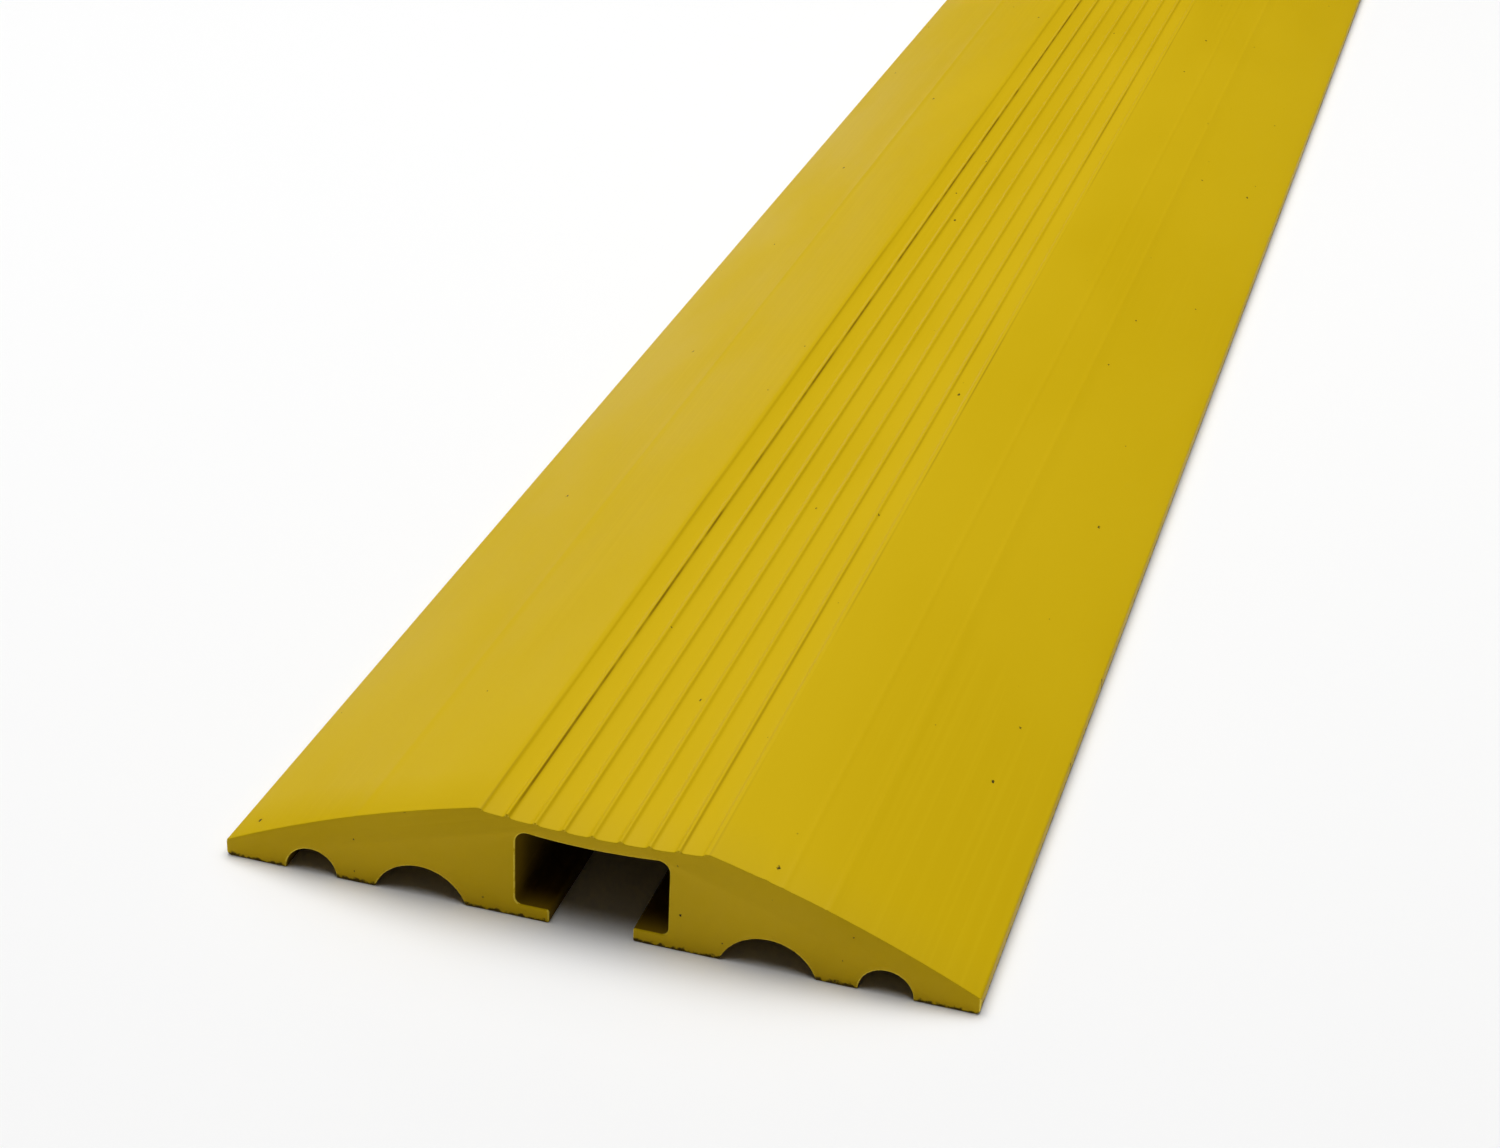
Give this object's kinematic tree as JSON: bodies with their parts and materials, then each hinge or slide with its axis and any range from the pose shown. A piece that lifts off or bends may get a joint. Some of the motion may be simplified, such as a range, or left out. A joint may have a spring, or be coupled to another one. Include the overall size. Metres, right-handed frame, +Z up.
{
  "type": "cable protector ramp",
  "caption": "Low rubber floor strip with a ribbed tread and sloping sides, over an open-bottomed cable channel, that folds along its middle to take a cable.",
  "frame": {"origin": "on the floor, under the middle of the strip", "axes": "+X to the right across the strip, +Y along it from the front end to the rear end, +Z up"},
  "size_m": [0.13, 1, 0.0198],
  "materials": {
    "yellow_rubber": "satin"
  },
  "bodies": {
    "left_ramp": {"left_ramp": "yellow_rubber"},
    "tread_roof": {"tread_roof": "yellow_rubber"},
    "right_ramp": {"right_ramp": "yellow_rubber"},
    "left_lip": {"left_lip": "yellow_rubber"},
    "right_lip": {"right_lip": "yellow_rubber"}
  },
  "joints": [
    {"name": "left_fold", "type": "hinge", "parent": "left_ramp", "child": "tread_roof", "pos_m": [-0.00728, 0, 0.01846], "axis": [0, -1, 0], "range_deg": [0, 40], "stiffness_Nm_per_rad": 0.6},
    {"name": "right_fold", "type": "hinge", "parent": "tread_roof", "child": "right_ramp", "pos_m": [0.00728, 0, 0.01846], "axis": [0, -1, 0], "range_deg": [0, 40], "stiffness_Nm_per_rad": 0.6},
    {"name": "left_lip_flex", "type": "hinge", "parent": "left_ramp", "child": "left_lip", "pos_m": [-0.012, 0, 0.0025], "axis": [0, -1, 0], "range_deg": [0, 40], "stiffness_Nm_per_rad": 1.5},
    {"name": "right_lip_flex", "type": "hinge", "parent": "right_ramp", "child": "right_lip", "pos_m": [0.012, 0, 0.0025], "axis": [0, 1, 0], "range_deg": [0, 40], "stiffness_Nm_per_rad": 1.5}
  ]
}
